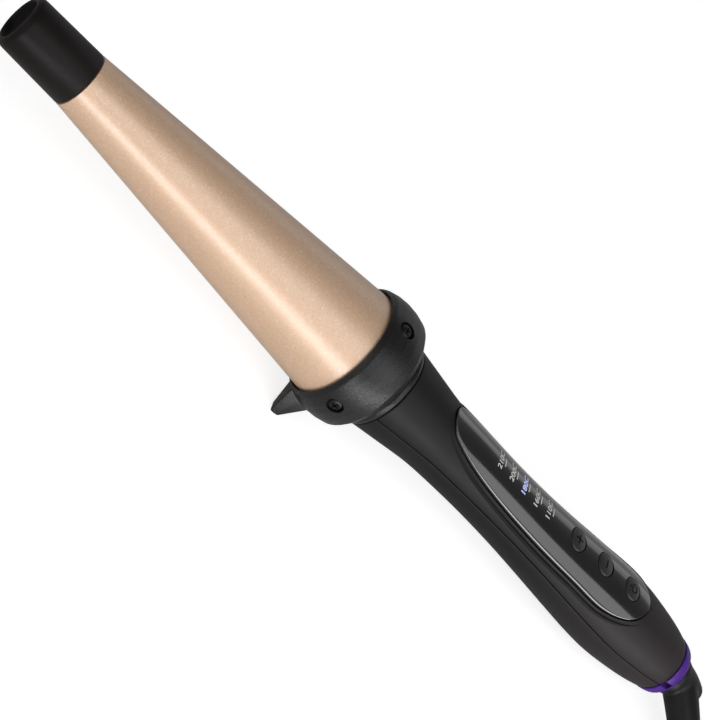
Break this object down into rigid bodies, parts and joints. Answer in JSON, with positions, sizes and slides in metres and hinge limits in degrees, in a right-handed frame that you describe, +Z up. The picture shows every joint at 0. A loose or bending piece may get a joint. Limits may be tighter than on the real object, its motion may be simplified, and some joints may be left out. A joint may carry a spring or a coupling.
{
  "type": "conical curling wand",
  "caption": "Conical hair-curling wand with a bronze barrel, cool tip, collar with stand feet, black handle with gloss control panel, purple end ring and swivel mains cord.",
  "frame": {"origin": "centre of the bottom of the wand as it lies on its two stand feet and the belly of its handle, cord left out", "axes": "+X along the wand towards the cord end (the tip points to -X and is slightly raised), +Z up out of the control panel side"},
  "size_m": [0.4895, 0.0895, 0.0481],
  "materials": {
    "bronze_enamel": "satin metallic bronze",
    "tip_black": "satin brown-black",
    "collar_black": "fine spark-eroded texture",
    "shell_black": "soft-touch satin",
    "panel_gloss": "high gloss",
    "button_black": "satin",
    "ring_purple": "satin purple",
    "cord_black": "matt",
    "steel": "bright",
    "brass": "plain",
    "aluminium": "extruded",
    "ceramic": "unglazed",
    "heat_resin": "heat-resistant resin",
    "board_green": "solder mask",
    "component_black": "moulded",
    "lamp_clear": "clear",
    "lead_sleeve": "woven glass sleeve"
  },
  "bodies": {
    "wand": {"barrel": "bronze_enamel", "cool_tip": "tip_black", "tip_insulator": "ceramic", "tip_screw": "steel", "heater_shoe_upper": "aluminium", "heater_shoe_lower": "aluminium", "heater_element": "ceramic", "thermistor": "component_black", "thermal_fuse": "aluminium", "heater_lead_live": "lead_sleeve", "heater_lead_neutral": "lead_sleeve", "sensor_lead": "lead_sleeve", "barrel_base_bush": "heat_resin", "collar": "collar_black", "collar_screw_top": "steel", "collar_screw_far": "steel", "collar_screw_bottom": "steel", "collar_screw_near": "steel", "neck_ring": "collar_black", "upper_shell": "shell_black", "lower_shell": "shell_black", "control_panel": "panel_gloss", "circuit_board": "board_green", "key_switch_plus": "component_black", "key_switch_minus": "component_black", "key_switch_power": "component_black", "scale_lamp_1": "lamp_clear", "scale_lamp_2": "lamp_clear", "scale_lamp_3": "lamp_clear", "scale_lamp_4": "lamp_clear", "scale_lamp_5": "lamp_clear", "controller_chip": "component_black", "mains_capacitor": "component_black", "triac": "component_black", "end_ring": "ring_purple", "swivel_bearing": "heat_resin", "brush_live": "brass", "brush_neutral": "brass", "brush_holder": "heat_resin", "cord": "cord_black", "cord_coil": "cord_black", "cord_tail": "cord_black", "coil_tie": "component_black", "plug_body": "cord_black", "plug_pin_live": "brass", "plug_pin_neutral": "brass"},
    "button_plus": {"button_plus": "button_black"},
    "button_minus": {"button_minus": "button_black"},
    "button_power": {"button_power": "button_black"},
    "cord_swivel": {"swivel_drum": "component_black", "slip_ring_live": "brass", "slip_ring_neutral": "brass", "retaining_clip": "steel", "strain_relief": "cord_black"}
  },
  "joints": [
    {"name": "button_plus_press", "type": "slide", "parent": "wand", "child": "button_plus", "axis": [-0.0715, 0, -0.9974], "range_m": [0, 0.0007], "stiffness_N_per_m": 600, "springref_m": -0.0006},
    {"name": "button_minus_press", "type": "slide", "parent": "wand", "child": "button_minus", "axis": [-0.0715, 0, -0.9974], "range_m": [0, 0.0007], "stiffness_N_per_m": 600, "springref_m": -0.0006},
    {"name": "button_power_press", "type": "slide", "parent": "wand", "child": "button_power", "axis": [-0.0715, 0, -0.9974], "range_m": [0, 0.0007], "stiffness_N_per_m": 600, "springref_m": -0.0006},
    {"name": "cord_swivel", "type": "hinge", "parent": "wand", "child": "cord_swivel", "pos_m": [0.16454, 0, 0.0123], "axis": [0.9974, 0, -0.0715], "continuous": true}
  ]
}
